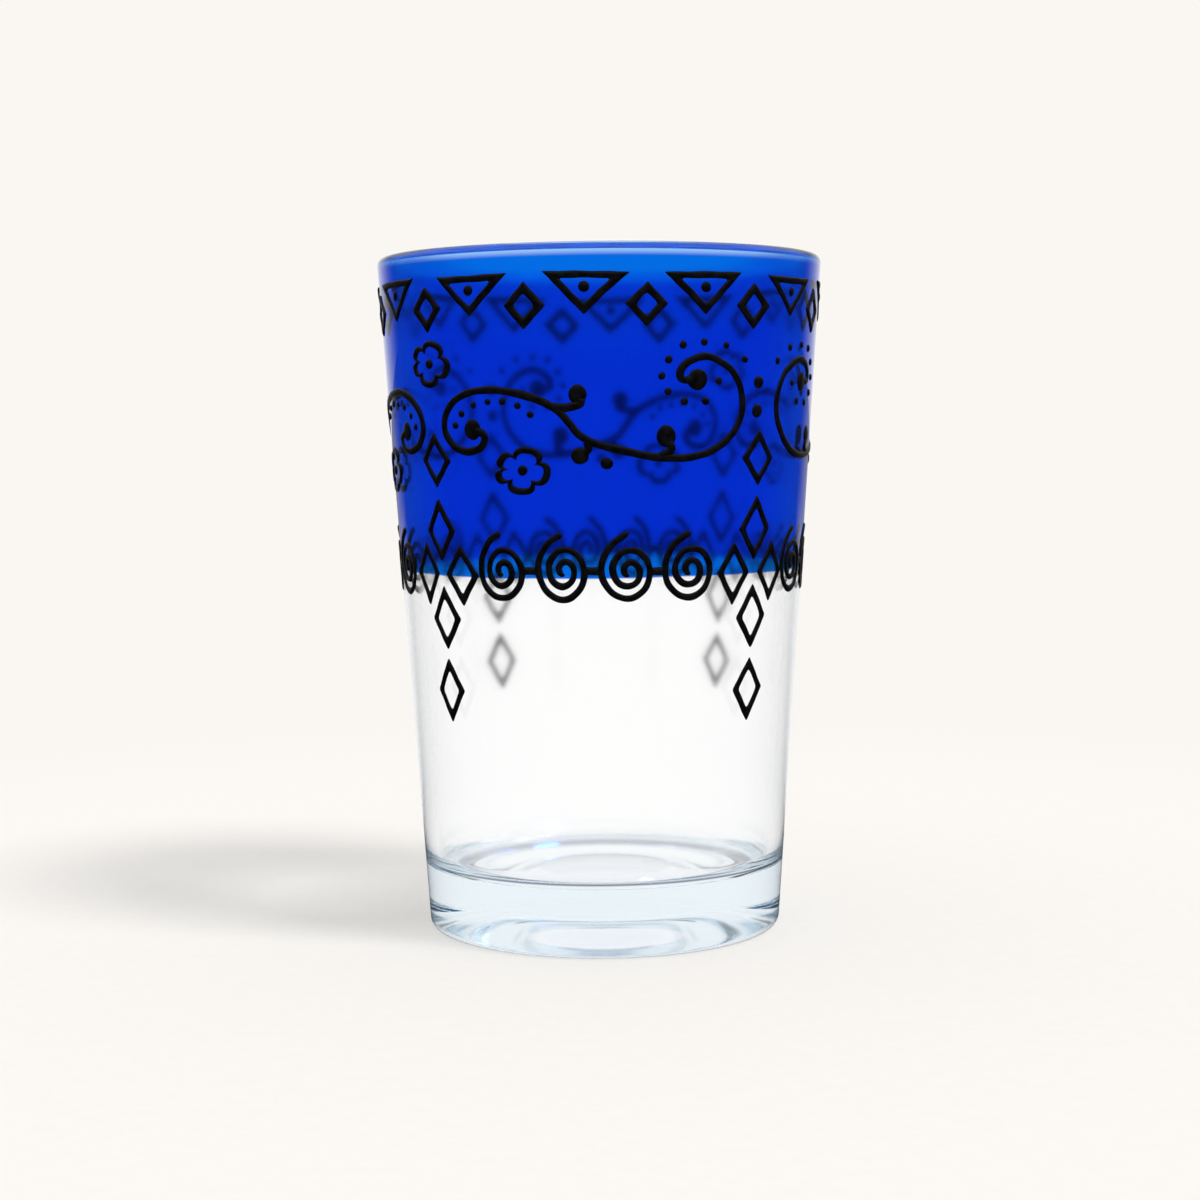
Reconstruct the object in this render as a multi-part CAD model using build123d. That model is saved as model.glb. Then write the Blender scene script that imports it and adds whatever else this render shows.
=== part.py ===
from build123d import *
import math
import os

# Glass body, in millimetres; the taper is straight, so the two diameters set the whole outside
HEIGHT = 100.0
RIM_DIAMETER = 66.0
FOOT_DIAMETER = 52.6
WALL = 2.2
FLOOR = 11.0
FLOOR_CORNER = 3.0
FOOT_EDGE = 1.6
DISH_DIAMETER = 41.0
DISH_DEPTH = 4.5
DISH_STEPS = 4
LIP_STEPS = 4
EDGE_STEPS = 2
CORNER_STEPS = 2

# Raised enamel: height of the bead, how close it sits to the wall, stroke widths, radii of the dots
BEAD = 0.4
SEAT = 0.01
SEAT_FACETS = 36
BOLD_STROKE = 1.05
FINE_STROKE = 0.9
SMALL_DOT = 0.5
HALO_DOT = 0.58
EYE_DOT = 0.78
STEM_DOT = 0.85
BERRY_DOT = 0.95
DOT_SIDES = 5
CLEARANCE = 0.25

# Row below the rim; angles in degrees, 0 faces the front, growing to the viewer's right
RIM_COUNT = 12
RIM_TURN = -3.5
TRIANGLE_BELOW_RIM = 4.4
TRIANGLE_DROP = 5.5
TRIANGLE_SHARE = 0.7
EYE_BELOW_TOP = 1.75
RIM_DIAMOND_HEIGHT = 6.35
RIM_DIAMOND_SHARE = 0.365
RIM_DIAMOND_BELOW_TOP = 4.15

# Four hanging columns of diamonds part the wall into four panels
COLUMN_ANGLES = (-48.5, 45.5, 137.5, 217.0)
COLUMN_BELOW_RIM = 25.5
FIRST_DIAMOND_HEIGHT = 8.1
DIAMOND_HEIGHT = 9.1
DIAMOND_WIDTH = 11.3
SIDE_SPREAD = 0.65 * DIAMOND_WIDTH
TIER_GAP = 1.3
CROSS_GAP = 3.4
BERRIES_BELOW_RIM = (19.15, 23.05)
BERRY_TURN = -1.2

# Spirals between the columns
SPIRAL_COUNT = 4
SPIRALS_BELOW_RIM = 44.9
SPIRAL_REACH = 4.75
SPIRAL_TAIL = 0.5
SPIRAL_TURNS = 2.3
SPIRAL_FALL = 0.3675
SPIRAL_STEPS = 13
LINK_SHARE = 0.15
LINK_HEIGHT = 1.2

# Flowers: half sizes in degrees and millimetres, and where the notches between petals lie
FLOWER_HALF_WIDTH = 7.6
FLOWER_HALF_HEIGHT = 3.4
NOTCH_DEPTH = 0.3
NOTCHES = (27, 114, 173, 223, 305, 387)
PETAL_STEPS = 3
TOP_FLOWER_BELOW_RIM = 16.05

# The scroll as drawn on a panel of this width: degrees from the panel's middle, millimetres from its own line
SCROLL_BELOW_RIM = 24.0
DRAWN_PANEL = 94.0
VINE = (
    (-33.4, -1.35), (-29.3, -2.1), (-30.5, -3.7), (-34.7, -4.25), (-39.2, -3.5), (-42.2, -1.4),
    (-41.9, 0.7), (-38.9, 2.6), (-34.2, 3.75), (-27.8, 4.1), (-20.0, 3.5), (-13.0, 2.3),
    (-8.4, 0.8), (-2.5, -2.5), (6.8, -4.25), (18.1, -5.3), (27.8, -5), (35.3, -3),
    (40.0, 0.1), (40.4, 3.2), (37.6, 6.2), (32.3, 7.95), (28.5, 8.45), (24.6, 7.9),
    (22.1, 6.6), (22.4, 5.3), (25.4, 5.2),
)
VINE_STEPS = 31
VINE_BULBS = ((-33.2, -1.35, 1.4), (26.3, 5.2, 1.5))
SPRIGS = (
    ((-11.2, 1.8), (-7.1, 1.6), (-3.4, 2), (-3.3, 3)),
    ((-2.0, -2.7), (-1.4, -3.9), (-2.6, -4.8)),
    ((16.2, -5.2), (19.6, -4.2), (19.0, -2.8)),
)
SPRIG_STEPS = 2
SPRIG_BULBS = ((-4.0, 3.3, 1.3), (-3.6, -5, 1.25), (18.4, -2.4, 1.45))
STEM_SPOT = (2.9, -6)
CURL_SPOTS = (
    (-38.7, -0.75), (-36.5, 0.8), (-32.5, 2), (-27.9, 2.4), (-23.5, 2.4), (-19.5, 1.85), (-16.4, 0.7),
)
HALO_SPOTS = (
    (22.2, 10.1), (27.8, 10.5), (34.6, 10), (40.7, 8.1), (18.7, 8.1),
    (17.1, 5.8), (18.7, 3.6), (23.0, 2.2), (28.6, 2.3), (32.4, 5),
)
FLOWER_SPOT = (-19.0, -7)

LIP = WALL / 2
LIP_START = HEIGHT - LIP
TRIANGLE_TOP = HEIGHT - TRIANGLE_BELOW_RIM
SCROLL_HEIGHT = HEIGHT - SCROLL_BELOW_RIM
SPIRAL_HEIGHT = HEIGHT - SPIRALS_BELOW_RIM
RIM_PITCH = 360 / RIM_COUNT
COLUMN_REACH = SIDE_SPREAD + DIAMOND_WIDTH / 2


def wall_radius(z):
    """Outside radius of the bare glass at a height."""
    return (FOOT_DIAMETER + (RIM_DIAMETER - FOOT_DIAMETER) * z / HEIGHT) / 2


def degrees_for(length, z):
    """Angle that an arc of this length spans on the wall."""
    return math.degrees(length / wall_radius(z))


def rounding(centre, radius, start, end, steps):
    """Points round an arc of the section, with angles in degrees."""
    turns = [math.radians(start + (end - start) * i / steps) for i in range(steps + 1)]
    return [(centre[0] + radius * math.cos(t), centre[1] + radius * math.sin(t)) for t in turns]


def dish_point(share):
    """Point of the bell-shaped dish at a share of its radius."""
    return DISH_DIAMETER / 2 * share, DISH_DEPTH * math.cos(math.pi / 2 * share) ** 2


def glass_body():
    """Tapered tumbler with a round lip, a thick floor and a bell-shaped dish under the foot."""
    bell = [dish_point(i / DISH_STEPS) for i in range(1, DISH_STEPS)]
    dish = [(0, bell[0][1]), *bell, (DISH_DIAMETER / 2, 0)]
    foot = rounding((wall_radius(FOOT_EDGE) - FOOT_EDGE, FOOT_EDGE), FOOT_EDGE, -90, 0, EDGE_STEPS)
    lip = rounding((wall_radius(LIP_START) - LIP, LIP_START), LIP, 0, 180, LIP_STEPS)
    bend = FLOOR + FLOOR_CORNER
    floor = rounding((wall_radius(bend) - WALL - FLOOR_CORNER, bend), FLOOR_CORNER, 0, -90, CORNER_STEPS)
    section = make_face(Polyline(*dish, *foot, *lip, *floor, (0, FLOOR), close=True))
    return revolve(Plane.XZ * section, Axis.Z)


def wall_facets(offset):
    """Many-sided taper just clear of the wall, with a ridge facing the front."""
    lean = math.degrees(math.atan(wall_radius(1) - wall_radius(0)))
    sides = RegularPolygon(wall_radius(0) + SEAT + offset, SEAT_FACETS, major_radius=False, rotation=90)
    return extrude(sides, LIP_START, taper=-lean)


def flat(points):
    """Flat drawing, as seen square on, of a closed outline given in degrees and heights."""
    drawn = [(wall_radius(z) * math.sin(math.radians(a)), z) for a, z in points]
    return make_face(Polyline(*drawn, close=True))


def raised(drawing, angle=0.0):
    """Raise a flat drawing from the wall as enamel and turn it to its place."""
    front = Plane(origin=(0, -RIM_DIAMETER / 4, 0), x_dir=(1, 0, 0), z_dir=(0, -1, 0))
    return Rot(0, 0, angle) * (extrude(front * drawing, RIM_DIAMETER / 2) & ENAMEL_ROOM)


def stroke(path, width):
    """Outline of a brush stroke of even width along a path of angles and heights."""
    left = []
    right = []
    for i, (a, z) in enumerate(path):
        a0, z0 = path[max(i - 1, 0)]
        a1, z1 = path[min(i + 1, len(path) - 1)]
        run = math.radians(a1 - a0) * wall_radius(z)
        rise = z1 - z0
        half = width / 2 / math.hypot(run, rise)
        left.append((a - degrees_for(rise * half, z), z + run * half))
        right.append((a + degrees_for(rise * half, z), z - run * half))
    return left + right[::-1]


def smooth(points, steps):
    """Points along a smooth curve through a few drawn ones."""
    curve = Spline(*points)
    return [((curve @ (i / steps)).X, (curve @ (i / steps)).Y) for i in range(steps + 1)]


def dot(a, z, radius):
    """Outline of a round dot."""
    turns = [2 * math.pi * (i + 0.5) / DOT_SIDES for i in range(DOT_SIDES)]
    return [(a + degrees_for(radius * math.cos(t), z), z + radius * math.sin(t)) for t in turns]


def diamond(half_width, z, half_height):
    """Outline of an upright diamond."""
    return [(half_width, z), (0, z + half_height), (-half_width, z), (0, z - half_height)]


def diamond_ring(width, z, height, line):
    """Diamond drawn as a line of even width, given its outer width and height."""
    half = math.radians(width / 2) * wall_radius(z)
    inset = 1 - line * math.hypot(half, height / 2) / (half * height / 2)
    outer = diamond(width / 2, z, height / 2)
    inner = diamond(width / 2 * inset, z, height / 2 * inset)
    return flat(outer) - flat(inner)


def triangle_ring():
    """Triangle pointing down, drawn as a line of even width."""
    half = RIM_PITCH * TRIANGLE_SHARE / 2
    outer = [(-half, TRIANGLE_TOP), (0, TRIANGLE_TOP - TRIANGLE_DROP), (half, TRIANGLE_TOP)]
    base = math.radians(half) * wall_radius(TRIANGLE_TOP)
    inradius = base * TRIANGLE_DROP / (base + math.hypot(base, TRIANGLE_DROP))
    middle = TRIANGLE_TOP - inradius
    scale = 1 - BOLD_STROKE / inradius
    inner = [(a * scale, middle + (z - middle) * scale) for a, z in outer]
    return flat(outer) - flat(inner)


def petals(z, reach):
    """Flower outline of five unequal petals, drawn in from the full size by reach."""
    wide = math.radians(FLOWER_HALF_WIDTH) * wall_radius(z)
    points = []
    for start, end in zip(NOTCHES, NOTCHES[1:]):
        for i in range(PETAL_STEPS):
            share = i / PETAL_STEPS
            t = math.radians(start + (end - start) * share)
            r = 1 - NOTCH_DEPTH * (1 - math.sin(math.pi * share)) ** 2
            across = (wide * r - reach) * math.cos(t)
            points.append((degrees_for(across, z), z + (FLOWER_HALF_HEIGHT * r - reach) * math.sin(t)))
    return points


def flower_ring(z):
    """Flower drawn as one closed line."""
    return flat(petals(z, 0)) - flat(petals(z, BOLD_STROKE))


def spiral_radius(turn):
    """Distance of the spiral's line from its eye, by turns from the tail."""
    return SPIRAL_REACH * (1 - SPIRAL_FALL * turn) + SPIRAL_TAIL * max(0, 1 - 4 * turn) ** 2


def spiral_path(squeeze):
    """Spiral wound inwards from a tail above it, as angles and heights, with longer steps near the eye."""
    path = []
    for i in range(SPIRAL_STEPS + 1):
        turn = SPIRAL_TURNS * (i / SPIRAL_STEPS) ** 1.2
        t = math.radians(90 + 360 * turn)
        across = spiral_radius(turn) * squeeze * math.cos(t)
        path.append((degrees_for(across, SPIRAL_HEIGHT), SPIRAL_HEIGHT + spiral_radius(turn) * math.sin(t)))
    return path


def panels():
    """Middle, width and handedness of the four panels between neighbouring columns."""
    ends = COLUMN_ANGLES[1:] + (COLUMN_ANGLES[0] + 360,)
    for i, (start, end) in enumerate(zip(COLUMN_ANGLES, ends)):
        yield (start + end) / 2, end - start, 1 if i % 2 == 0 else -1


def seated(drawing, z):
    """Raise a drawing too small to follow the curve, standing square on the wall at the front."""
    lean = wall_radius(1) - wall_radius(0)
    seat = Plane(origin=(0, -wall_radius(z) - SEAT, z), x_dir=(1, 0, 0), z_dir=(0, -1, -lean))
    return extrude(seat * drawing, BEAD)


def spot(angle, z, radius):
    """Round dot of enamel."""
    return Rot(0, 0, angle) * seated(RegularPolygon(radius, DOT_SIDES), z)


def on_panels(spots, radius):
    """The same dots on every panel, mirrored on every other one."""
    made = []
    for middle, width, hand in panels():
        fit = hand * width / DRAWN_PANEL
        made += [spot(middle + a * fit, SCROLL_HEIGHT + rise, radius) for a, rise in spots]
    return made


def vine(fit):
    """Scroll of one panel: a long S with a bulb at each end and three sprigs."""
    def placed(points):
        return [(a * fit, SCROLL_HEIGHT + rise) for a, rise in points]

    whole = flat(stroke(smooth(placed(VINE), VINE_STEPS), BOLD_STROKE))
    for sprig in SPRIGS:
        whole += flat(stroke(smooth(placed(sprig), SPRIG_STEPS), BOLD_STROKE))
    for a, rise, radius in VINE_BULBS + SPRIG_BULBS:
        whole += flat(dot(a * fit, SCROLL_HEIGHT + rise, radius))
    return whole


def spiral_row():
    """Spirals of every panel and the short bars that link neighbours."""
    spirals = []
    links = []
    for middle, width, hand in panels():
        room = width - 2 * COLUMN_REACH - 2 * degrees_for(CLEARANCE, SPIRAL_HEIGHT)
        pitch = room / (SPIRAL_COUNT - LINK_SHARE)
        both = math.radians(pitch * (1 - LINK_SHARE)) * wall_radius(SPIRAL_HEIGHT) - FINE_STROKE
        squeeze = both / (spiral_radius(0.25) + spiral_radius(0.75))
        left, right = (degrees_for(spiral_radius(t) * squeeze + FINE_STROKE / 2, SPIRAL_HEIGHT) for t in (0.25, 0.75))
        one = raised(flat(stroke(spiral_path(squeeze), FINE_STROKE)))
        places = [middle - room / 2 + left + i * pitch for i in range(SPIRAL_COUNT)]
        spirals += [Rot(0, 0, a) * one for a in places]
        length = math.radians(pitch - right - left) * wall_radius(SPIRAL_HEIGHT) - CLEARANCE
        bar = seated(Rectangle(length, LINK_HEIGHT), SPIRAL_HEIGHT)
        links += [Rot(0, 0, a + (pitch + right - left) / 2) * bar for a in places[:-1]]
    return spirals, links


def on_columns(drawing, spread=0.0):
    """A drawing on every column, or on both sides of it when spread."""
    turns = (-spread, spread) if spread else (0.0,)
    one = raised(drawing)
    return [Rot(0, 0, a + t) * one for a in COLUMN_ANGLES for t in turns]


def around_rim(one, turn):
    """A piece repeated round the rim."""
    return [Rot(0, 0, RIM_TURN + turn + i * RIM_PITCH) * one for i in range(RIM_COUNT)]


def keep(name, shapes):
    """Write one node of separate solids."""
    solids = [solid for shape in shapes for solid in shape.solids()]
    export_step(solids[0] if len(solids) == 1 else Compound(solids), f"parts/{name}.step")


os.makedirs("parts", exist_ok=True)
ENAMEL_ROOM = wall_facets(BEAD) - wall_facets(0)

keep("glass_body", [glass_body()])

# Row below the rim
keep("rim_triangles", around_rim(raised(triangle_ring()), 0))
keep("rim_triangle_eyes", around_rim(spot(0, TRIANGLE_TOP - EYE_BELOW_TOP, EYE_DOT), 0))
rim_diamond_z = TRIANGLE_TOP - RIM_DIAMOND_BELOW_TOP
rim_diamond = diamond_ring(RIM_PITCH * RIM_DIAMOND_SHARE, rim_diamond_z, RIM_DIAMOND_HEIGHT, BOLD_STROKE)
keep("rim_diamonds", around_rim(raised(rim_diamond), RIM_PITCH / 2))

# Scrolls with their dots and flowers
keep("scroll_vines", [raised(vine(hand * width / DRAWN_PANEL), middle) for middle, width, hand in panels()])
keep("scroll_curl_dots", on_panels(CURL_SPOTS, SMALL_DOT))
keep("scroll_halo_dots", on_panels(HALO_SPOTS, HALO_DOT))
keep("scroll_stem_dots", on_panels((STEM_SPOT,), STEM_DOT))
low_flower = raised(flower_ring(SCROLL_HEIGHT + FLOWER_SPOT[1]))
flower_turns = [middle + FLOWER_SPOT[0] * hand * width / DRAWN_PANEL for middle, width, hand in panels()]
keep("low_flower_petals", [Rot(0, 0, a) * low_flower for a in flower_turns])
keep("low_flower_eyes", on_panels((FLOWER_SPOT,), EYE_DOT))
top_flower_z = HEIGHT - TOP_FLOWER_BELOW_RIM
top_flower = raised(flower_ring(top_flower_z))
keep("top_flower_petals", [Rot(0, 0, a) * top_flower for a in COLUMN_ANGLES[::2]])
keep("top_flower_eyes", [spot(a, top_flower_z, EYE_DOT) for a in COLUMN_ANGLES[::2]])

# Hanging columns of diamonds, from the top down
first_z = HEIGHT - COLUMN_BELOW_RIM - FIRST_DIAMOND_HEIGHT / 2
second_z = first_z - FIRST_DIAMOND_HEIGHT / 2 - TIER_GAP - DIAMOND_HEIGHT / 2
cross_z = second_z - DIAMOND_HEIGHT / 2 - CROSS_GAP / 2
fourth_z = cross_z - CROSS_GAP / 2 - DIAMOND_HEIGHT / 2
fifth_z = fourth_z - DIAMOND_HEIGHT - TIER_GAP
keep("column_diamonds_1", on_columns(diamond_ring(DIAMOND_WIDTH, first_z, FIRST_DIAMOND_HEIGHT, FINE_STROKE)))
keep("column_diamonds_2", on_columns(diamond_ring(DIAMOND_WIDTH, second_z, DIAMOND_HEIGHT, FINE_STROKE)))
cross = diamond_ring(DIAMOND_WIDTH, cross_z, DIAMOND_HEIGHT, FINE_STROKE)
keep("column_diamonds_3", on_columns(cross, SIDE_SPREAD))
keep("column_diamonds_4", on_columns(diamond_ring(DIAMOND_WIDTH, fourth_z, DIAMOND_HEIGHT, FINE_STROKE)))
keep("column_diamonds_5", on_columns(diamond_ring(DIAMOND_WIDTH, fifth_z, DIAMOND_HEIGHT, FINE_STROKE)))
berry_places = [(a + BERRY_TURN, HEIGHT - drop) for a in COLUMN_ANGLES[1::2] for drop in BERRIES_BELOW_RIM]
keep("column_berries", [spot(a, z, BERRY_DOT) for a, z in berry_places])

# Spirals between the columns, each row linked by short bars
spirals, links = spiral_row()
keep("spirals", spirals)
keep("spiral_links", links)
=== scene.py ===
"""Moroccan tea glass: a turned glass body, stained blue above, with raised enamel ornament on its wall."""
import math

import bmesh
import bpy
import numpy as np
from mathutils import Matrix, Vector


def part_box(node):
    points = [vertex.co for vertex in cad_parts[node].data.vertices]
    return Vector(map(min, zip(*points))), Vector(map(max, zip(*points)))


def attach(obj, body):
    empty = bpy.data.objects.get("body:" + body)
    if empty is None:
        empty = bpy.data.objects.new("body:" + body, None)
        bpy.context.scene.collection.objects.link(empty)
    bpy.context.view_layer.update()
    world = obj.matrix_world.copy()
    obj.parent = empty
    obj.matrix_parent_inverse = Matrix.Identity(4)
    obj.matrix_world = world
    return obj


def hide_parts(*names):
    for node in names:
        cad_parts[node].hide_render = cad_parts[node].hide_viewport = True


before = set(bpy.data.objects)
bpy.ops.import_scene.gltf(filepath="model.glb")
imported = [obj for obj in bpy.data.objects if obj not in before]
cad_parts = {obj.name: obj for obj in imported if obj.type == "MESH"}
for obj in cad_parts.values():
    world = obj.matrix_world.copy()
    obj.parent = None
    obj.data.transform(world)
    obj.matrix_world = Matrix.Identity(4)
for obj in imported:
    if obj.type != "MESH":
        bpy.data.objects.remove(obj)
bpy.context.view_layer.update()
MM = 0.001


def heights(node):
    """Lowest and highest point of a node of the frame."""
    low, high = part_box(node)
    return low.z, high.z


def middle(node):
    """Height halfway up a node of the frame."""
    return sum(heights(node)) / 2


# Glass, in metres
HEIGHT = heights("glass_body")[1]
RIM_RADIUS = 33.0 * MM
FOOT_RADIUS = 26.3 * MM
WALL = 2.2 * MM
FLOOR = 9.6 * MM
FLOOR_CORNER = 3.0 * MM
FOOT_EDGE = 1.6 * MM
DISH_RADIUS = 22.0 * MM
DISH_FLAT = 9.5 * MM
DISH_DEPTH = 3.8 * MM
SLOPE = (RIM_RADIUS - FOOT_RADIUS) / HEIGHT
LEAN = math.atan(SLOPE)

# Points along each stretch of the glass's half section and round the axis, and the reach for merging them
DISH_STEPS = 90
FOOT_STEPS = 12
WALL_STEPS = 40
LIP_STEPS = 24
BEND_STEPS = 24
FLOOR_STEPS = 10
TURN_STEPS = 288
MERGE = 1e-7

# Look of the glass: its body, the softness of its inside from the base up, and the light its shadow keeps
GLASS_IOR = 1.5
GLASS_TINT = (0.755, 0.876, 0.947)
TINT_DENSITY = 16.0
BASE_SOFT = 0.08
WALL_SOFT = 0.13
BLUE_SOFT = 0.135
WALL_STARTS = (14 * MM, 24 * MM)
BLUE_STARTS = (48 * MM, 58 * MM)
CLEAR_SHADE = (0.925, 0.925, 0.925)
STAIN_SHADE = (0.66, 0.66, 0.66)

# Stain: where it ends, and the colour of light that has crossed it twice square on; edge on it is painted
# paler and greener, a painted sheen, and at the lip it is paler, partly thinner stain and partly a painted
# highlight
STAIN_END = 54.0 * MM
STAIN_FADE = (STAIN_END + 0.15 * MM, STAIN_END + 0.45 * MM)
RIPPLE_SCALE = 90.0
RIPPLE = 0.5 * MM
NO_STAIN = (1.0, 1.0, 1.0)
STAIN_BLUE = (0.0, 0.0255, 0.625)
SIDE_SHEEN_BLUE = (0.0, 0.095, 0.585)
SIDE_SHEEN_TURN = (0.30, 0.85)
# Near the lip the blue turns paler: partly thinner stain, partly a painted highlight along the lip
LIP_STAIN_AND_HIGHLIGHT = (0.115, 0.38, 1.0)
LIP_STAIN_AND_HIGHLIGHT_FADE = (HEIGHT - 2.0 * MM, HEIGHT - 0.9 * MM)

# Enamel beads: section, widths of line and points along each stretch
RISE = 0.24 * MM
SINK = 0.03 * MM
ARCH = 2.6
BOLD = 1.1 * MM
FINE = 0.95 * MM
VINE_LINE = 1.12 * MM
TRIANGLE_LINE = 1.0 * MM
CORNER = 0.28 * MM
BEAD_STEPS = 9
CORNER_STEPS = 6
SIDE_STEPS = 9
DOT_STEPS = 24
SPAN_STEPS = 24
PATH_STEP = 0.3 * MM
LEAST_STEPS = 12

# Look of the enamel
ENAMEL_DARK = (0.0008, 0.0008, 0.0014)
ENAMEL_PALE = (0.0035, 0.0035, 0.005)
ENAMEL_IOR = 1.4
ENAMEL_GLOSS = 0.12
ENAMEL_ROUGH = 0.42
ENAMEL_WEAR = 0.12
GLAZE = 0.12
GLAZE_ROUGH = 0.2
WEAR_SCALE = 900.0
WEAR_HEIGHT = 0.02 * MM
WEAR_BUMP = 0.5

# Waver of the hand: its reach, the share of its quick wave, and radians per millimetre. A slow wave has its
# own rate, then the size and rate of the bend across it; a quick wave has its rates along and across
WAVER = 0.11 * MM
QUICK_SHARE = 0.3
SLOW_ROUND = (0.55, 0.8, 0.31)
QUICK_ROUND = (1.9, -1.3)
SLOW_UP = (0.47, 1.1, 0.27)
QUICK_UP = (1.7, 1.5)
UP_START = 2.0

# Shared unevenness: detail of the noise, and the part of its range that makes the mask
UNEVEN_DETAIL = 2.0
UNEVEN_MASK = (0.3, 0.7)

# Places of the ornament round the wall, in degrees: 0 faces the front, growing to the viewer's right
RIM_COUNT = 12
RIM_PITCH = 360 / RIM_COUNT
RIM_TURN = -3.5
COLUMNS = (-48.5, 45.5, 137.5, 217.0)
DIAMOND_WIDTH = 11.8
SIDE_SPREAD = 7.35
DRAWN_PANEL = 94.0
HANDS = (1, -1, 1, -1)
TIERS = (1, 2, 3, 4, 5)
PAIRED_TIER = 3

# Rim row: shares of the pitch, the triangles' rise above their node, and the eyes
TRIANGLE_HALF = 0.355
TRIANGLE_LIFT = 0.3 * MM
EYE_DROP = 0.1 * MM
EYE_DOT = 0.74 * MM
RIM_DIAMOND = 0.375

# The scroll of one panel: degrees from the panel's middle, millimetres from its own line
SCROLL_HEIGHT = HEIGHT - 24.0 * MM
VINE = (
    (-33.4, -1.35), (-29.3, -2.1), (-30.5, -3.7), (-34.7, -4.25), (-39.2, -3.5), (-42.2, -1.4),
    (-41.9, 0.7), (-38.9, 2.6), (-34.2, 3.75), (-27.8, 4.1), (-20.0, 3.5), (-13.0, 2.3),
    (-8.4, 0.8), (-2.5, -2.5), (6.8, -4.25), (18.1, -5.3), (27.8, -5.0), (35.3, -3.0),
    (40.0, 0.1), (40.4, 3.2), (37.6, 6.2), (32.3, 7.95), (28.5, 8.45), (24.6, 7.9),
    (22.1, 6.6), (22.4, 5.3), (25.4, 5.2),
)
SPRIGS = (
    ((-11.2, 1.8), (-7.1, 1.6), (-3.4, 2.0), (-3.3, 3.0)),
    ((-2.0, -2.7), (-1.4, -3.9), (-2.6, -4.8)),
    ((16.2, -5.2), (19.6, -4.2), (19.0, -2.8)),
)
BULBS = ((-33.2, -1.35, 1.4), (26.3, 5.2, 1.5), (-4.0, 3.3, 1.3), (-3.6, -5.0, 1.25), (18.4, -2.4, 1.45))
CURL_SPOTS = (
    (-38.7, -0.75), (-36.5, 0.8), (-32.5, 2.0), (-27.9, 2.4), (-23.5, 2.4), (-19.5, 1.85), (-16.4, 0.7),
)
CURL_DOT = 0.5 * MM
HALO_SPOTS = (
    (22.2, 10.1), (27.8, 10.5), (34.6, 10.0), (40.7, 8.1), (18.7, 8.1),
    (17.1, 5.8), (18.7, 3.6), (23.0, 2.2), (28.6, 2.3), (32.4, 5.0),
)
HALO_DOT = 0.55 * MM
STEM_SPOTS = ((2.9, -6.0),)
STEM_DOT = 0.85 * MM

# Flowers: degrees from the panel's middle, angles of the notches, and half width, half height and notch
FLOWER_TURN = -19.0
NOTCHES = np.radians((27, 114, 173, 223, 305, 387))
FLOWER_OUTER = (4.2 * MM, 3.45 * MM, 0.27)
FLOWER_INNER = (3.05 * MM, 2.5 * MM, 0.36)
FLOWER_DOT = 0.75 * MM
PETAL_STEPS = 16

# Berries above every other column
BERRY_TURN = -1.2
BERRY_INSET = 0.9 * MM
BERRY_DOT = 0.95 * MM

# Spirals: degrees between them, reach to the side and up, turns, fall of the reach per turn, the turns at
# which one is widest to the left and to the right, and the links
SPIRAL_COUNT = 4
SPIRAL_PITCH = 17.1
SPIRAL_REACH = (4.06 * MM, 4.75 * MM)
SPIRAL_TURNS = 2.5
SPIRAL_FALL = 0.3675
SPIRAL_SIDES = (0.25, 0.75)
SPIRAL_TAIL = 0.5 * MM
SPIRAL_STEPS = 150
LINK_HALF = 0.6 * MM
LINK_LAP = 0.1 * MM
LINK_CORNER = 0.15 * MM


def wall_radius(z):
    """Outside radius of the glass at a height: a straight taper."""
    return FOOT_RADIUS + SLOPE * z


def arc(centre, radius, start, end, steps):
    """Points (radius, height) round part of a circle, from one angle to another in degrees."""
    t = np.radians(np.linspace(start, end, steps))
    return np.stack([centre[0] + radius * np.cos(t), centre[1] + radius * np.sin(t)], 1)


def line(a, b, steps):
    """Evenly spaced points from a towards b, without b itself."""
    return np.linspace(a, b, steps, endpoint=False)


def mesh_piece(name, points, faces, node, slot, material):
    """A closed mesh in the frame that stands for one node of it."""
    mesh = bpy.data.meshes.new(name)
    mesh.from_pydata(points.reshape(-1, 3), [], faces.reshape(-1, 4))
    shape = bmesh.new()
    shape.from_mesh(mesh)
    bmesh.ops.remove_doubles(shape, verts=shape.verts, dist=MERGE)
    bmesh.ops.recalc_face_normals(shape, faces=shape.faces)
    shape.to_mesh(mesh)
    shape.free()
    mesh.polygons.foreach_set("use_smooth", np.ones(len(mesh.polygons), bool))
    mesh.materials.append(material)
    piece = bpy.data.objects.new(name, mesh)
    bpy.context.scene.collection.objects.link(piece)
    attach(piece, "root")
    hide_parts(node)


def grid_faces(rows, columns, wrap_rows, wrap_columns):
    """Quads of a grid of points, joined round in either direction where asked."""
    i = np.arange(rows if wrap_rows else rows - 1)[:, None]
    j = np.arange(columns if wrap_columns else columns - 1)[None, :]
    i2 = (i + 1) % rows
    j2 = (j + 1) % columns
    return np.stack([i * columns + j, i2 * columns + j, i2 * columns + j2, i * columns + j2], -1)


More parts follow.
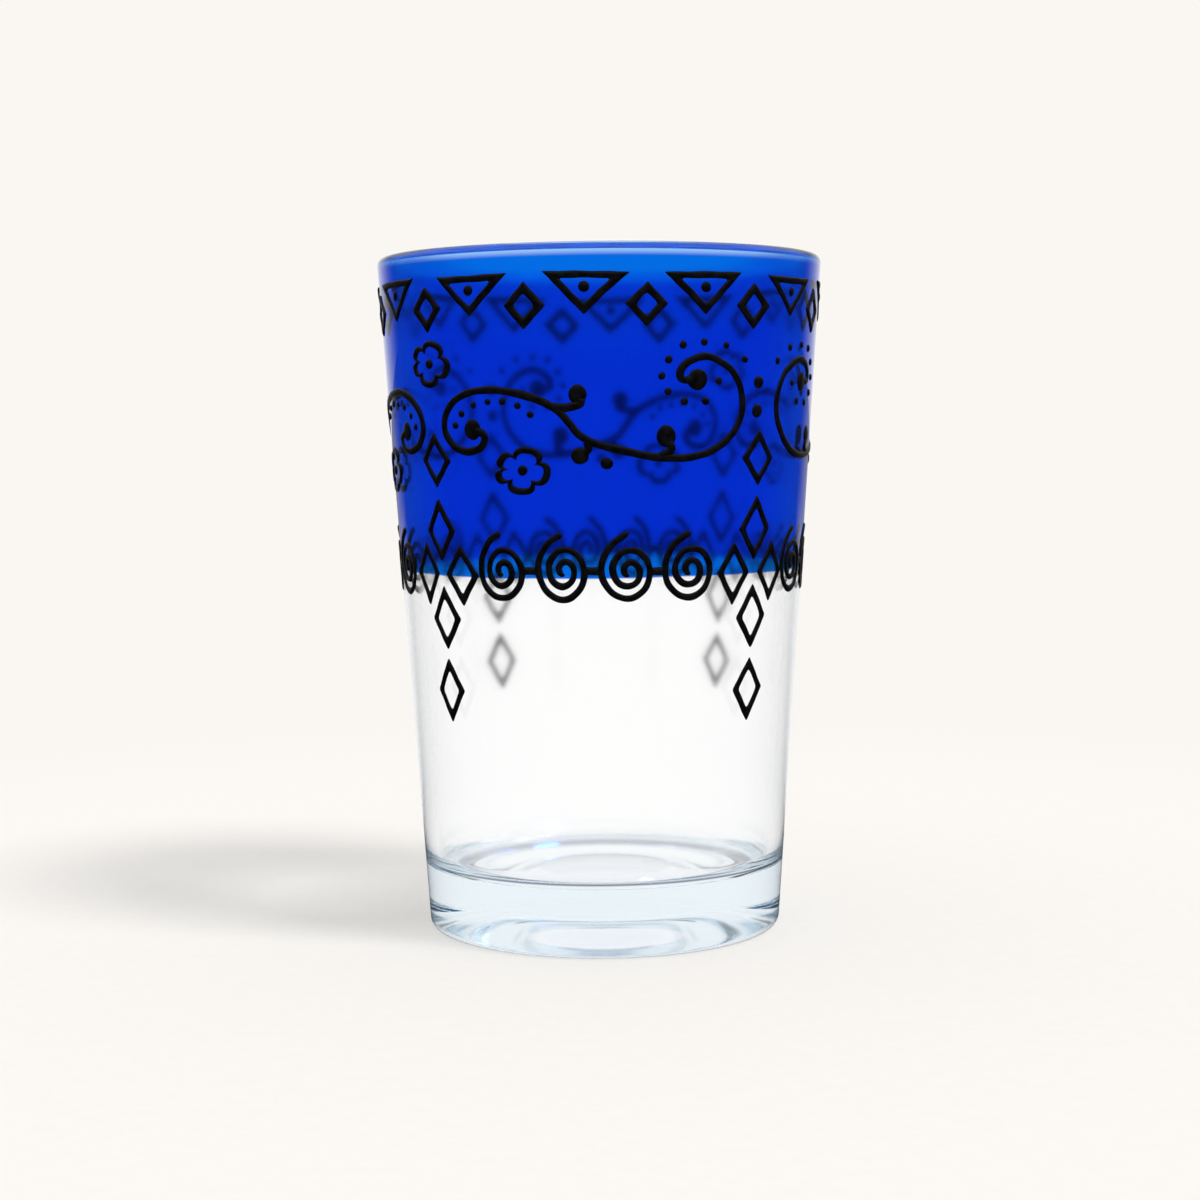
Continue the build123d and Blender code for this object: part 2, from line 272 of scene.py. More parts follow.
def glass_outline():
    """Half section of the glass from the middle of the dish round the foot, lip and inside to the floor.
    The dish is flat in its middle, then falls to the foot as a squared cosine over a quarter turn."""
    r = np.linspace(0, DISH_RADIUS, DISH_STEPS)
    slope = np.clip((r - DISH_FLAT) / (DISH_RADIUS - DISH_FLAT), 0, 1)
    dish = np.stack([r, DISH_DEPTH * np.cos(np.pi / 2 * slope) ** 2], 1)
    foot_centre = (wall_radius(FOOT_EDGE) - FOOT_EDGE, FOOT_EDGE)
    foot = arc(foot_centre, FOOT_EDGE, -90, -math.degrees(LEAN), FOOT_STEPS)
    lip_radius = WALL / 2
    lip_centre = (wall_radius(HEIGHT - lip_radius) - lip_radius, HEIGHT - lip_radius)
    lip = arc(lip_centre, lip_radius, -math.degrees(LEAN), 180 - math.degrees(LEAN), LIP_STEPS)
    bend = FLOOR + FLOOR_CORNER
    corner_centre = (wall_radius(bend) - WALL - FLOOR_CORNER, bend)
    corner = arc(corner_centre, FLOOR_CORNER, -math.degrees(LEAN), -90, BEND_STEPS)
    wall = line(foot[-1], lip[0], WALL_STEPS)[1:]
    inside = line(lip[-1], corner[0], WALL_STEPS)[1:]
    floor = line(corner[-1], (0, FLOOR), FLOOR_STEPS)[1:]
    return np.concatenate([dish, foot, wall, lip, inside, corner, floor, [(0, FLOOR)]])


def glass_body(material):
    """The half section turned about the axis: x = r sin a, y = -r cos a."""
    outline = glass_outline()
    a = np.linspace(0, 2 * np.pi, TURN_STEPS, endpoint=False)[:, None]
    r = outline[None, :, 0]
    z = np.broadcast_to(outline[None, :, 1], (TURN_STEPS, len(outline)))
    points = np.stack([r * np.sin(a), -r * np.cos(a), z], -1)
    faces = grid_faces(TURN_STEPS, len(outline), True, False)
    mesh_piece("glass_cup", points, faces, "glass_body", "glass", material)


def on_wall(angle, z, lift):
    """Point at an angle and height on the wall, lifted square to it."""
    r = wall_radius(z) + lift * math.cos(LEAN)
    return np.stack([r * np.sin(angle), -r * np.cos(angle), z - lift * math.sin(LEAN)], -1)


def wave(along, across, slow, quick, start=0.0):
    """A slow sine along one direction, bent by a sine across it, and a smaller quick sine of both."""
    rate, bend, bend_rate = slow
    slow_part = np.sin(rate * along + bend * np.sin(bend_rate * across) + start)
    return slow_part + QUICK_SHARE * np.sin(quick[0] * along + quick[1] * across)


def wavered(places):
    """Waver of the hand: a wave of the place round and up the wall shifts a line a little both ways."""
    girth = wall_radius(STAIN_END)
    s = places[..., 0] * girth / MM
    z = places[..., 1] / MM
    shift_round = wave(s, z, SLOW_ROUND, QUICK_ROUND) / girth
    shift_up = wave(z, s, SLOW_UP, QUICK_UP, UP_START)
    return places + WAVER * np.stack([shift_round, shift_up], -1)


def bead(edges, closed, dome=False):
    """Bead of enamel between two edge lines: across it, u runs from 0 to 1 and the lift swells as a
    flattened arch. A dome has the second line shrunk to its middle. The underside lies just below the
    surface of the glass."""
    first, second = edges
    u = (1 - np.cos(np.linspace(0, np.pi, BEAD_STEPS))) / 2
    swell = 1 - (1 - u) ** 2 if dome else 1 - np.abs(2 * u - 1) ** ARCH
    span = np.linalg.norm((second - first) * (wall_radius(STAIN_END), 1), axis=1)
    height = RISE * np.sqrt(np.clip(span / span.max(), 0, 1))[:, None]
    u = np.concatenate([u, [1, 0]])
    lift = np.concatenate([np.sqrt(swell) * height, np.full((len(first), 2), -SINK)], 1)
    across = first[:, None, :] * (1 - u)[None, :, None] + second[:, None, :] * u[None, :, None]
    across = wavered(across)
    points = on_wall(across[..., 0], across[..., 1], lift)
    return points.reshape(-1, 3), grid_faces(len(first), len(u), closed, True).reshape(-1, 4)


def joined(beads):
    """Points and faces of many beads as one mesh."""
    starts = np.cumsum([0] + [len(points) for points, _ in beads[:-1]])
    return np.concatenate([p for p, _ in beads]), np.concatenate([f + s for (_, f), s in zip(beads, starts)])


def turned(edges, degrees):
    """The same edge lines moved round the wall."""
    return [edge + (math.radians(degrees), 0) for edge in edges]


def wrapped(flat, z):
    """Flat drawing in metres about a point of the wall at height z, as angles and heights."""
    return np.stack([flat[:, 0] / wall_radius(z + flat[:, 1]), z + flat[:, 1]], 1)


def rounded(corners, radius):
    """Closed outline with straight sides; each corner is eased on a parabola that starts radius before it."""
    before = np.roll(corners, 1, 0) - corners
    after = np.roll(corners, -1, 0) - corners
    start = corners + radius * before / np.linalg.norm(before, axis=1)[:, None]
    end = corners + radius * after / np.linalg.norm(after, axis=1)[:, None]
    t = np.linspace(0, 1, CORNER_STEPS)[None, :, None]
    bends = (1 - t) ** 2 * start[:, None] + 2 * t * (1 - t) * corners[:, None] + t ** 2 * end[:, None]
    s = np.linspace(0, 1, SIDE_STEPS + 2)[1:-1][None, :, None]
    sides = end[:, None] * (1 - s) + np.roll(start, -1, 0)[:, None] * s
    return np.concatenate([bends, sides], 1).reshape(-1, 2)


def inset(corners, distance):
    """Corners of a polygon that has an inscribed circle, moved in evenly from all its sides."""
    lengths = np.linalg.norm(np.roll(corners, -1, 0) - np.roll(corners, 1, 0), axis=1)
    centre = (corners * lengths[:, None]).sum(0) / lengths.sum() if len(corners) == 3 else corners.mean(0)
    side = corners[1] - corners[0]
    inward = centre - corners[0]
    reach = abs(side[0] * inward[1] - side[1] * inward[0]) / np.linalg.norm(side)
    return centre + (corners - centre) * (1 - distance / reach)


def polygon_line(corners, width, z):
    """The two edges of a line drawn round a polygon, wrapped on the wall."""
    return [wrapped(rounded(corners, CORNER), z), wrapped(rounded(inset(corners, width), 2 * CORNER), z)]


def diamond(width, low, high, stroke):
    """Diamond line of a given angular width between two heights."""
    z = (low + high) / 2
    half = math.radians(width / 2) * wall_radius(z)
    tall = (high - low) / 2
    return polygon_line(np.array([(half, 0), (0, tall), (-half, 0), (0, -tall)]), stroke, z)


def triangle():
    """Triangle line of the rim row, pointing down."""
    low, high = heights("rim_triangles")
    high += TRIANGLE_LIFT
    half = math.radians(TRIANGLE_HALF * RIM_PITCH) * wall_radius(high)
    return polygon_line(np.array([(-half, 0), (0, low - high), (half, 0)]), TRIANGLE_LINE, high)


def dot(angle, z, radius):
    """Round dot: a circle and its middle."""
    t = np.linspace(0, 2 * np.pi, DOT_STEPS, endpoint=False)
    flat = radius * np.stack([np.cos(t), np.sin(t)], 1)
    return bead(turned([wrapped(flat, z), wrapped(flat * 0, z)], angle), True, dome=True)


def dots(places, radius):
    """Equal dots at angles and heights."""
    return joined([dot(a, z, radius) for a, z in places])


def closed_lines(edges, turns):
    """A closed line motif repeated at angles round the wall."""
    return joined([bead(turned(edges, a), True) for a in turns])


def stroke_edges(path, width):
    """Two edges of a brush stroke along a path in metres. Its ends are round: with w half the width and s
    the way to the end, the half width there is the root of w^2 - (w - s)^2."""
    step = np.gradient(path, axis=0)
    ahead = step / np.linalg.norm(step, axis=1)[:, None]
    run = np.concatenate([[0], np.cumsum(np.linalg.norm(np.diff(path, axis=0), axis=1))])
    w = width / 2
    to_end = np.minimum(np.minimum(run, run[-1] - run), w)
    half = np.sqrt(np.clip(w ** 2 - (w - to_end) ** 2, 0, None))[:, None]
    side = np.stack([-ahead[:, 1], ahead[:, 0]], 1) * half
    return path + side, path - side


def smooth_path(points):
    """Smooth curve through drawn points: between two of them, the cubic set by their neighbours on either
    side. Its points are then spaced evenly along it."""
    p = np.asarray(points, float)
    p = np.concatenate([[2 * p[0] - p[1]], p, [2 * p[-1] - p[-2]]])
    t = np.linspace(0, 1, SPAN_STEPS, endpoint=False)[None, :, None]
    a, b, c, d = (p[i:len(p) - 3 + i, None, :] for i in range(4))
    cubic = b + t * ((c - a) + t * ((2 * a - 5 * b + 4 * c - d) + t * (3 * b - 3 * c + d - a))) / 2
    curve = np.concatenate([cubic.reshape(-1, 2), p[-2:-1]])
    run = np.concatenate([[0], np.cumsum(np.linalg.norm(np.diff(curve, axis=0), axis=1))])
    even = np.linspace(0, run[-1], max(LEAST_STEPS, int(run[-1] / PATH_STEP)))
    return np.stack([np.interp(even, run, curve[:, k]) for k in (0, 1)], 1)


def panels():
    """Middle, stretch and width of the four panels between columns; every other one is mirrored."""
    ends = COLUMNS[1:] + (COLUMNS[0] + 360,)
    return [((a + b) / 2, hand * (b - a) / DRAWN_PANEL, b - a) for hand, a, b in zip(HANDS, COLUMNS, ends)]


def scroll():
    """Long S with its sprigs as brush strokes, and a bulb where each one ends."""
    beads = []
    arm = math.radians(1) * wall_radius(SCROLL_HEIGHT)
    for centre, stretch, _ in panels():
        for drawn in (VINE, *SPRIGS):
            path = smooth_path(np.array(drawn) * (arm * stretch, MM))
            edges = [wrapped(edge, SCROLL_HEIGHT) for edge in stroke_edges(path, VINE_LINE)]
            beads.append(bead(turned(edges, centre), False))
        beads += [dot(centre + a * stretch, SCROLL_HEIGHT + rise * MM, r * MM) for a, rise, r in BULBS]
    return joined(beads)


def scroll_dots(spots, radius):
    """Dots that keep company with the scroll on every panel."""
    return dots([(centre + a * stretch, SCROLL_HEIGHT + rise * MM)
                 for centre, stretch, _ in panels() for a, rise in spots], radius)


def petal_outline(half_width, half_height, notch):
    """Five unequal petals: at each notch the reach falls by its share, as the square of (1 - sin(pi s)) with
    s the share of the way from one notch to the next."""
    s = np.linspace(0, 1, PETAL_STEPS, endpoint=False)[None, :]
    t = (NOTCHES[:-1, None] + np.diff(NOTCHES)[:, None] * s).ravel()
    reach = np.tile(1 - notch * (1 - np.sin(np.pi * s)) ** 2, (len(NOTCHES) - 1, 1)).ravel()
    return np.stack([half_width * reach * np.cos(t), half_height * reach * np.sin(t)], 1)


def flower(z):
    """Flower line between an outer and an inner outline."""
    return [wrapped(petal_outline(*sizes), z) for sizes in (FLOWER_OUTER, FLOWER_INNER)]


def spiral_path(stretch):
    """Spiral wound inwards from a tail above it: the reach falls evenly with the turns, and the first
    quarter turn reaches a little further up."""
    turn = np.linspace(0, SPIRAL_TURNS, SPIRAL_STEPS)
    reach = 1 - SPIRAL_FALL * turn
    tail = SPIRAL_TAIL * np.clip(1 - 4 * turn, 0, None) ** 2
    t = np.pi / 2 + 2 * np.pi * turn
    across = SPIRAL_REACH[0] * stretch * reach * np.cos(t)
    return np.stack([across, (SPIRAL_REACH[1] * reach + tail) * np.sin(t)], 1)


def spiral_rows():
    """Spirals of each panel, and the short bars that link neighbours."""
    z = middle("spiral_links")
    spirals = []
    links = []
    for centre, _, width in panels():
        stretch = width / DRAWN_PANEL
        pitch = SPIRAL_PITCH * stretch
        edges = [wrapped(edge, z) for edge in stroke_edges(spiral_path(stretch), FINE)]
        places = [centre + (i - (SPIRAL_COUNT - 1) / 2) * pitch for i in range(SPIRAL_COUNT)]
        spirals += [bead(turned(edges, a), False) for a in places]
        left, right = (SPIRAL_REACH[0] * stretch * (1 - SPIRAL_FALL * turn) for turn in SPIRAL_SIDES)
        half = (math.radians(pitch) * wall_radius(z) - left - right) / 2 + LINK_LAP
        bar = np.array([(half, LINK_HALF), (-half, LINK_HALF), (-half, -LINK_HALF), (half, -LINK_HALF)])
        link = [wrapped(rounded(bar, LINK_CORNER) * share, z) for share in (1, 0)]
        aside = math.degrees((right - left) / 2 / wall_radius(z))
        links += [bead(turned(link, a + pitch / 2 + aside), True, dome=True) for a in places[:-1]]
    return joined(spirals), joined(links)


def shader_input(node, values):
    """Set sockets of a node by name."""
    for name, value in values.items():
        node.inputs[name].default_value = value


def new_material(name):
    """Material with an empty node tree; returns it with a maker of nodes and a maker of links."""
    material = bpy.data.materials.new(name)
    material.use_nodes = True
    tree = material.node_tree
    tree.nodes.clear()
    return material, tree.nodes.new, tree.links.new


def number(make, link, operation, a, b=None, c=None):
    """Math node on links or plain numbers; returns its output."""
    node = make("ShaderNodeMath")
    node.operation = operation
    for socket, value in zip(node.inputs, (a, b, c)):
        if isinstance(value, (int, float)):
            socket.default_value = value
        elif value is not None:
            link(value, socket)
    return node.outputs[0]


def ramp(make, link, value, low, high):
    """Smooth step of a value from 0 at low to 1 at high."""
    node = make("ShaderNodeMapRange")
    node.interpolation_type = "SMOOTHSTEP"
    shader_input(node, {"From Min": low, "From Max": high})
    link(value, node.inputs["Value"])
    return node.outputs["Result"]


# Sockets and output of a Mix node that carry colours
MIX_COLOURS = (6, 7)
MIX_RESULT = 2


def colour_mix(make, link, factor, a, b):
    """Mix of two plain colours or links by a factor."""
    node = make("ShaderNodeMix")
    node.data_type = "RGBA"
    link(factor, node.inputs["Factor"])
    for place, value in zip(MIX_COLOURS, (a, b)):
        if isinstance(value, tuple):
            node.inputs[place].default_value = (*value, 1)
        else:
            link(value, node.inputs[place])
    return node.outputs[MIX_RESULT]


def separated(make, link, vector):
    """The three axes of a vector, as outputs by name."""
    node = make("ShaderNodeSeparateXYZ")
    link(vector, node.inputs[0])
    return node.outputs


def unevenness_group():
    """Shared effect: soft unevenness of hand work, as a height for bumps and a mask for gloss."""
    group = bpy.data.node_groups.new("hand unevenness", "ShaderNodeTree")
    group.interface.new_socket("Position", in_out="INPUT", socket_type="NodeSocketVector")
    for name in ("Scale", "Amount"):
        group.interface.new_socket(name, in_out="INPUT", socket_type="NodeSocketFloat")
    for name in ("Height", "Mask"):
        group.interface.new_socket(name, in_out="OUTPUT", socket_type="NodeSocketFloat")
    make, link = group.nodes.new, group.links.new
    given = make("NodeGroupInput").outputs
    result = make("NodeGroupOutput").inputs
    noise = make("ShaderNodeTexNoise")
    noise.inputs["Detail"].default_value = UNEVEN_DETAIL
    link(given["Position"], noise.inputs["Vector"])
    link(given["Scale"], noise.inputs["Scale"])
    link(number(make, link, "MULTIPLY", noise.outputs["Fac"], given["Amount"]), result["Height"])
    link(ramp(make, link, noise.outputs["Fac"], *UNEVEN_MASK), result["Mask"])
    return group


UNEVENNESS = unevenness_group()


def uneven(make, link, position, scale, amount):
    """Place the shared unevenness in a material."""
    node = make("ShaderNodeGroup")
    node.node_tree = UNEVENNESS
    shader_input(node, {"Scale": scale, "Amount": amount})
    link(position, node.inputs["Position"])
    return node.outputs


def stained_glass():
    """Clear glass whose outside is stained blue above a line, and whose inside is a little soft. Edge on, the
    blue is painted paler and greener as a painted sheen; near the lip it is paler, partly thinner stain and
    partly a painted highlight.
    Shadow and diffuse rays pass it straight, with a plain grey loss."""
    material, make, link = new_material("stained glass")
    position = make("ShaderNodeTexCoord").outputs["Object"]
    axes = separated(make, link, position)
    flat = number(make, link, "ADD", number(make, link, "MULTIPLY", axes["X"], axes["X"]),
                  number(make, link, "MULTIPLY", axes["Y"], axes["Y"]))
    radius = number(make, link, "SQRT", flat)
    core = number(make, link, "MULTIPLY_ADD", axes["Z"], SLOPE, FOOT_RADIUS - WALL / 2)
    outside = number(make, link, "GREATER_THAN", radius, core)
    ripple = uneven(make, link, position, RIPPLE_SCALE, RIPPLE)
    level = number(make, link, "ADD", axes["Z"], ripple["Height"])
    stain = number(make, link, "MULTIPLY", outside, ramp(make, link, level, *STAIN_FADE))
    shader = make("ShaderNodeBsdfPrincipled")
    shader_input(shader, {"IOR": GLASS_IOR, "Transmission Weight": 1.0, "Metallic": 0.0})
    # Painted sheen: edge on, the blue turns paler and greener, standing in for the haze of light at the sides
    # of the glass
    side = ramp(make, link, make("ShaderNodeLayerWeight").outputs["Facing"], *SIDE_SHEEN_TURN)
    wall_blue = colour_mix(make, link, side, STAIN_BLUE, SIDE_SHEEN_BLUE)
    # Near the lip the blue turns paler: partly thinner stain, partly a painted highlight along the lip
    blue = colour_mix(make, link, ramp(make, link, axes["Z"], *LIP_STAIN_AND_HIGHLIGHT_FADE), wall_blue, LIP_STAIN_AND_HIGHLIGHT)
    link(colour_mix(make, link, stain, NO_STAIN, blue), shader.inputs["Base Color"])
    inside = number(make, link, "SUBTRACT", 1.0, outside)
    up_wall = ramp(make, link, axes["Z"], *WALL_STARTS)
    up_blue = ramp(make, link, axes["Z"], *BLUE_STARTS)
    soft = number(make, link, "MULTIPLY_ADD", up_wall, WALL_SOFT - BASE_SOFT, BASE_SOFT)
    soft = number(make, link, "MULTIPLY_ADD", up_blue, BLUE_SOFT - WALL_SOFT, soft)
    link(number(make, link, "MULTIPLY", inside, soft), shader.inputs["Roughness"])
    clear = make("ShaderNodeBsdfTransparent")
    link(colour_mix(make, link, stain, CLEAR_SHADE, STAIN_SHADE), clear.inputs["Color"])
    path = make("ShaderNodeLightPath").outputs
    blend = make("ShaderNodeMixShader")
    link(number(make, link, "MAXIMUM", path["Is Shadow Ray"], path["Is Diffuse Ray"]), blend.inputs["Fac"])
    link(shader.outputs[0], blend.inputs[1])
    link(clear.outputs[0], blend.inputs[2])
    tint = make("ShaderNodeVolumeAbsorption")
    shader_input(tint, {"Color": (*GLASS_TINT, 1), "Density": TINT_DENSITY})
    out = make("ShaderNodeOutputMaterial")
    link(blend.outputs[0], out.inputs["Surface"])
    link(tint.outputs[0], out.inputs["Volume"])
    return material


def black_enamel():
    """Fired enamel: near black, satin, with faint hand unevenness and a thin glaze."""
    material, make, link = new_material("black enamel")
    position = make("ShaderNodeTexCoord").outputs["Object"]
    worn = uneven(make, link, position, WEAR_SCALE, WEAR_HEIGHT)
    shader = make("ShaderNodeBsdfPrincipled")
    shader_input(shader, {"IOR": ENAMEL_IOR, "Metallic": 0.0, "Specular IOR Level": ENAMEL_GLOSS})
    shader_input(shader, {"Coat Weight": GLAZE, "Coat Roughness": GLAZE_ROUGH})
    link(colour_mix(make, link, worn["Mask"], ENAMEL_DARK, ENAMEL_PALE), shader.inputs["Base Color"])
    rough = number(make, link, "MULTIPLY_ADD", worn["Mask"], ENAMEL_WEAR, ENAMEL_ROUGH)
    link(rough, shader.inputs["Roughness"])
    bump = make("ShaderNodeBump")
    bump.inputs["Strength"].default_value = WEAR_BUMP
    link(worn["Height"], bump.inputs["Height"])
    link(bump.outputs[0], shader.inputs["Normal"])
    out = make("ShaderNodeOutputMaterial")
    link(shader.outputs[0], out.inputs["Surface"])
    return material


GLASS = stained_glass()
ENAMEL = black_enamel()


def enamel_piece(name, node, mesh):
    """One node's worth of beads."""
    mesh_piece(name, *mesh, node, "enamel", ENAMEL)


glass_body(GLASS)

rim_turns = [RIM_TURN + i * RIM_PITCH for i in range(RIM_COUNT)]
eye_z = middle("rim_triangle_eyes") - EYE_DROP
rim_diamond = diamond(RIM_DIAMOND * RIM_PITCH, *heights("rim_diamonds"), BOLD)
enamel_piece("triangle_beads", "rim_triangles", closed_lines(triangle(), rim_turns))
enamel_piece("triangle_eye_beads", "rim_triangle_eyes", dots([(a, eye_z) for a in rim_turns], EYE_DOT))
enamel_piece("rim_diamond_beads", "rim_diamonds",
             closed_lines(rim_diamond, [a + RIM_PITCH / 2 for a in rim_turns]))

enamel_piece("scroll_beads", "scroll_vines", scroll())
enamel_piece("curl_dot_beads", "scroll_curl_dots", scroll_dots(CURL_SPOTS, CURL_DOT))
enamel_piece("halo_dot_beads", "scroll_halo_dots", scroll_dots(HALO_SPOTS, HALO_DOT))
enamel_piece("stem_dot_beads", "scroll_stem_dots", scroll_dots(STEM_SPOTS, STEM_DOT))

low_flower_turns = [centre + FLOWER_TURN * stretch for centre, stretch, _ in panels()]
for place, turns in (("low", low_flower_turns), ("top", COLUMNS[::2])):
    flower_z = middle(f"{place}_flower_eyes")
    enamel_piece(f"{place}_flower_beads", f"{place}_flower_petals", closed_lines(flower(flower_z), turns))
    enamel_piece(f"{place}_flower_eye_beads", f"{place}_flower_eyes",
                 dots([(a, flower_z) for a in turns], FLOWER_DOT))

for tier in TIERS:
    node = f"column_diamonds_{tier}"
    edges = diamond(DIAMOND_WIDTH, *heights(node), FINE)
    spread = (-SIDE_SPREAD, SIDE_SPREAD) if tier == PAIRED_TIER else (0.0,)
    turns = [a + s for a in COLUMNS for s in spread]
    enamel_piece(f"column_beads_tier_{tier}", node, closed_lines(edges, turns))
berry_low, berry_high = heights("column_berries")
berry_levels = (berry_low + BERRY_INSET, berry_high - BERRY_INSET)
enamel_piece("berry_beads", "column_berries",
             dots([(a + BERRY_TURN, z) for a in COLUMNS[1::2] for z in berry_levels], BERRY_DOT))

spirals, links = spiral_rows()
enamel_piece("spiral_beads", "spirals", spirals)
enamel_piece("link_beads", "spiral_links", links)


# Studio: a pale backdrop, and paper that melts into it over these distances from the axis
BACKDROP = (0.955, 0.930, 0.897)
PAPER_FLECK = (0.945, 0.920, 0.887)
FLECK_SCALE = 400.0
MELTS = (0.10, 0.26)
FLOOR_REACH = 6.0
AIR_GAP = 0.03 * MM

# What shows through glass: white beyond it, dimmer from high up, and under the foot a painted light under the
# dish and a painted contact shadow ring round it
SEEN_THROUGH = (1.058, 1.048, 1.037)
SEEN_ABOVE = (0.30, 0.36, 0.43)
HIGH_UP = (0.6, 0.9)
# Painted light: under the dish the paper glows pale, standing in for light that comes down through the base
PAINTED_LIGHT_UNDER_DISH = (0.95, 0.97, 1.0)
# Painted contact shadow: a dark ring on the paper under the foot, and where it begins and ends from the axis
PAINTED_CONTACT_SHADOW = (0.22, 0.27, 0.34)
SHADOW_RING_STARTS = (DISH_RADIUS - 1.5 * MM, DISH_RADIUS + 1.5 * MM)
SHADOW_RING_ENDS = (FOOT_RADIUS - 2.5 * MM, FOOT_RADIUS + 1.5 * MM)

# What gloss shows: a dim room that is bright behind and overhead, and a strip of paper behind the glass
DIM_ROOM = (0.03, 0.03, 0.035)
BRIGHT_ROOM = (1.0, 1.0, 1.0)
BEHIND = (0.65, 0.98)
OVERHEAD = (0.1, 0.5)
NEAR_PAPER = (0.92, 0.93, 0.95)
FAR_PAPER = (0.35, 0.35, 0.36)
PAPER_DEPTH = (0.5, 1.0)
STRIP_STARTS = (0.03, 0.12)
STRIP_SIDES = (0.40, 0.90)

# Light: an even dome, and a far softbox from the right, by its share on the floor and its angles in degrees
SOFT_LIGHT = (0.60, 0.60, 0.60)
KEY_LIGHT = 0.44
KEY_AZIMUTH = 56
KEY_ELEVATION = 51
KEY_SPREAD = 16
GLASS_BOUNCES = 24

# Camera, in metres and degrees
CAMERA_PLACE = (0.0, -0.3412, 0.0744)
CAMERA_PITCH = 4.20
CAMERA_ROLL = 0.528
CAMERA_LENS = 68.1
CAMERA_SENSOR = 36.0
CAMERA_SHIFT = (-0.0017, -0.0022)
CAMERA_NEAR = 0.01


def studio_world():
    """World that shows the pale backdrop to the camera, white through glass and a dim room in gloss, and
    lights softly from all round."""
    world = bpy.data.worlds.new("studio")
    bpy.context.scene.world = world
    world.use_nodes = True
    tree = world.node_tree
    tree.nodes.clear()
    make, link = tree.nodes.new, tree.links.new
    axes = separated(make, link, make("ShaderNodeTexCoord").outputs["Generated"])
    path = make("ShaderNodeLightPath").outputs
    behind = ramp(make, link, axes["Y"], *BEHIND)
    overhead = ramp(make, link, axes["Z"], *OVERHEAD)
    room = colour_mix(make, link, number(make, link, "MAXIMUM", behind, overhead), DIM_ROOM, BRIGHT_ROOM)
    dome = colour_mix(make, link, path["Is Glossy Ray"], SOFT_LIGHT, room)
    beyond = colour_mix(make, link, ramp(make, link, axes["Z"], *HIGH_UP), SEEN_THROUGH, SEEN_ABOVE)
    through = colour_mix(make, link, path["Is Transmission Ray"], dome, beyond)
    colour = colour_mix(make, link, path["Is Camera Ray"], through, BACKDROP)
    back = make("ShaderNodeBackground")
    link(colour, back.inputs["Color"])
    link(back.outputs[0], make("ShaderNodeOutputWorld").inputs["Surface"])


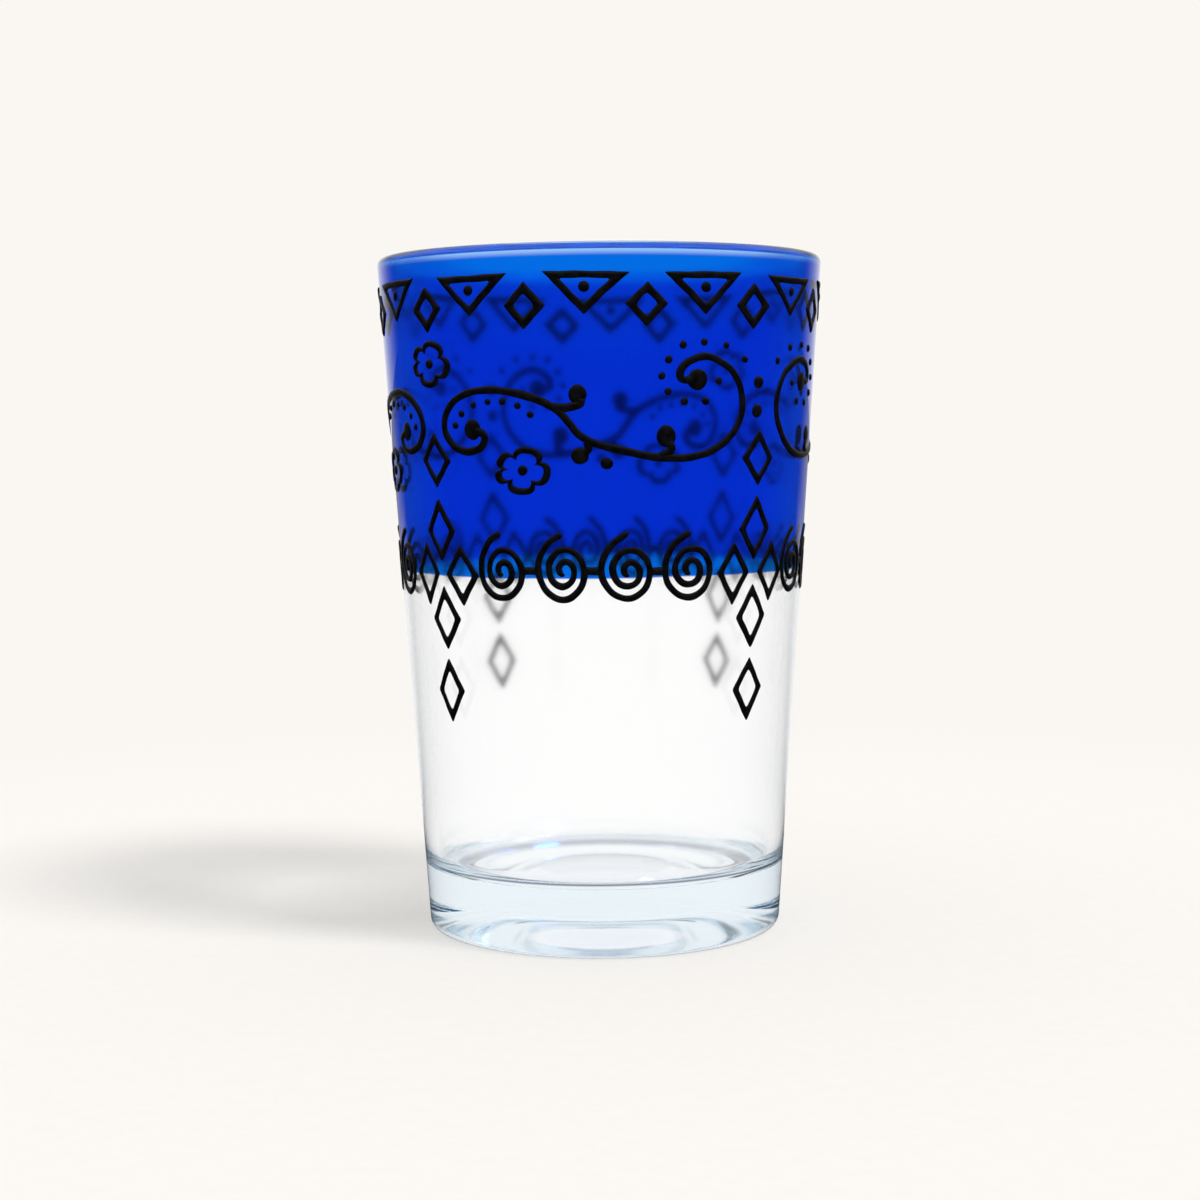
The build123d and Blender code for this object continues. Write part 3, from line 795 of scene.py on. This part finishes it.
def floor_material():
    """Pale paper that takes shadows near the glass and melts into the backdrop further out. Through the glass
    it glows with set colours instead: a painted light under the dish and a painted contact shadow ring under
    the foot.
    """
    material, make, link = new_material("pale paper")
    position = make("ShaderNodeTexCoord").outputs["Object"]
    grain = uneven(make, link, position, FLECK_SCALE, 1.0)
    axes = separated(make, link, position)
    length = make("ShaderNodeVectorMath")
    length.operation = "LENGTH"
    link(position, length.inputs[0])
    away = length.outputs["Value"]
    paper = make("ShaderNodeBsdfDiffuse")
    link(colour_mix(make, link, grain["Mask"], PAPER_FLECK, BACKDROP), paper.inputs["Color"])
    # Painted contact shadow ring under the foot, with painted light under the dish, shown only to rays
    # through the glass
    shadow_ring = ramp(make, link, away, *SHADOW_RING_STARTS)
    outside = ramp(make, link, away, *SHADOW_RING_ENDS)
    below = colour_mix(make, link, outside, colour_mix(make, link, shadow_ring, PAINTED_LIGHT_UNDER_DISH, PAINTED_CONTACT_SHADOW), SEEN_THROUGH)
    path = make("ShaderNodeLightPath").outputs
    deep = colour_mix(make, link, ramp(make, link, axes["Y"], *PAPER_DEPTH), NEAR_PAPER, FAR_PAPER)
    sideways = number(make, link, "DIVIDE", number(make, link, "ABSOLUTE", axes["X"]), axes["Y"])
    aside = ramp(make, link, sideways, *STRIP_SIDES)
    strip = number(make, link, "SUBTRACT", ramp(make, link, axes["Y"], *STRIP_STARTS), aside)
    mirrored = colour_mix(make, link, number(make, link, "MAXIMUM", strip, 0.0), DIM_ROOM, deep)
    seen = colour_mix(make, link, path["Is Glossy Ray"], BACKDROP, mirrored)
    glow = make("ShaderNodeEmission")
    link(colour_mix(make, link, path["Is Transmission Ray"], seen, below), glow.inputs["Color"])
    far = number(make, link, "MULTIPLY", ramp(make, link, away, *MELTS), path["Is Camera Ray"])
    by_glass = number(make, link, "MAXIMUM", path["Is Transmission Ray"], path["Is Glossy Ray"])
    blend = make("ShaderNodeMixShader")
    link(number(make, link, "MAXIMUM", far, by_glass), blend.inputs["Fac"])
    link(paper.outputs[0], blend.inputs[1])
    link(glow.outputs[0], blend.inputs[2])
    link(blend.outputs[0], make("ShaderNodeOutputMaterial").inputs["Surface"])
    return material


def studio_floor():
    """Large flat floor just below the foot of the glass."""
    mesh = bpy.data.meshes.new("floor")
    corners = ((-1, -1), (1, -1), (1, 1), (-1, 1))
    mesh.from_pydata([(x * FLOOR_REACH, y * FLOOR_REACH, -AIR_GAP) for x, y in corners], [], [(0, 1, 2, 3)])
    mesh.materials.append(floor_material())
    floor = bpy.data.objects.new("floor", mesh)
    bpy.context.scene.collection.objects.link(floor)


def soft_key():
    """Far softbox as parallel light; its azimuth is 0 in front and grows to the right."""
    data = bpy.data.lights.new("key light", "SUN")
    data.angle = math.radians(KEY_SPREAD)
    data.energy = KEY_LIGHT * math.pi / math.sin(math.radians(KEY_ELEVATION))
    lamp = bpy.data.objects.new("key light", data)
    lamp.rotation_euler = (math.radians(90 - KEY_ELEVATION), 0, math.radians(KEY_AZIMUTH))
    lamp.visible_glossy = False
    bpy.context.scene.collection.objects.link(lamp)


def camera():
    """Camera a little below the rim, pitched down and rolled slightly."""
    data = bpy.data.cameras.new("camera")
    data.sensor_width = CAMERA_SENSOR
    data.lens = CAMERA_LENS
    data.shift_x, data.shift_y = CAMERA_SHIFT
    data.clip_start = CAMERA_NEAR
    view = bpy.data.objects.new("camera", data)
    pitch = Matrix.Rotation(math.radians(90 - CAMERA_PITCH), 4, "X")
    roll = Matrix.Rotation(math.radians(-CAMERA_ROLL), 4, "Z")
    view.matrix_world = Matrix.Translation(CAMERA_PLACE) @ (pitch @ roll)
    bpy.context.scene.collection.objects.link(view)
    bpy.context.scene.camera = view


studio_world()
studio_floor()
soft_key()
camera()
bpy.context.scene.view_settings.view_transform = "Standard"
paths = bpy.context.scene.cycles
paths.max_bounces = paths.transmission_bounces = GLASS_BOUNCES
paths.glossy_bounces = GLASS_BOUNCES
